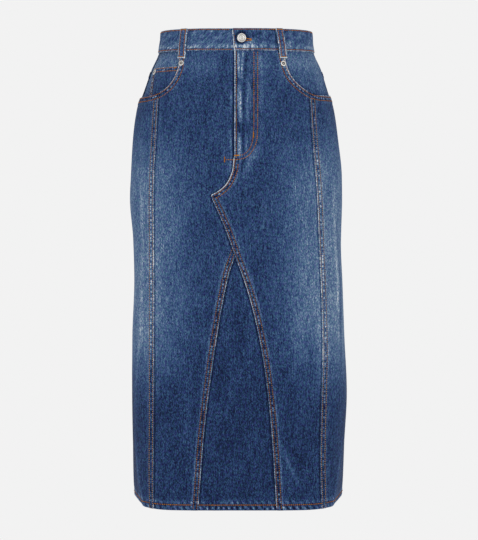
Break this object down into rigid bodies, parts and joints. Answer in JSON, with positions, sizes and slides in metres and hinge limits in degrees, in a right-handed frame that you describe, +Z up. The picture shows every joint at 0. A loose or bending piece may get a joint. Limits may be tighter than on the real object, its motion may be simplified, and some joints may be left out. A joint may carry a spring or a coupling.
{
  "type": "denim skirt",
  "caption": "Midi-length denim skirt with a zip fly, scoop front pockets, a coin pocket, long side-front seams and a pointed centre gore, keeping its worn, hollow form.",
  "frame": {"origin": "centre of the waist, level with the middle of the waistband at the sides, where a waist holds the skirt up", "axes": "+Z up out of the waist, the front of the skirt faces -Y, the wearer's left side is at +X"},
  "size_m": [0.3684, 0.2715, 0.7992],
  "materials": {
    "denim": "mid-blue washed cotton twill, faded over the thighs and along the seams",
    "pocketing": "plain undyed cotton",
    "zip_tape": "woven navy tape",
    "nickel": "pale nickel plate, softly polished"
  },
  "bodies": {
    "root": {"waistband": "denim", "belt_loop_front_right": "denim", "belt_loop_front_left": "denim", "belt_loop_back_right": "denim", "belt_loop_back_left": "denim", "belt_loop_back_centre": "denim", "front_right": "denim", "front_left": "denim", "gore": "denim", "side_front_right": "denim", "side_front_left": "denim", "yoke_right": "denim", "yoke_left": "denim", "back_right": "denim", "back_left": "denim", "pocket_facing_right": "denim", "pocket_facing_left": "denim", "pocket_bag_right": "pocketing", "pocket_bag_left": "pocketing", "coin_pocket": "denim", "back_pocket_right": "denim", "back_pocket_left": "denim", "fly_facing": "denim", "fly_shield": "denim", "zip_tape": "zip_tape", "zip_slider": "nickel", "button": "nickel", "rivet_pocket_right": "nickel", "rivet_pocket_left": "nickel", "rivet_coin": "nickel"}
  },
  "joints": []
}
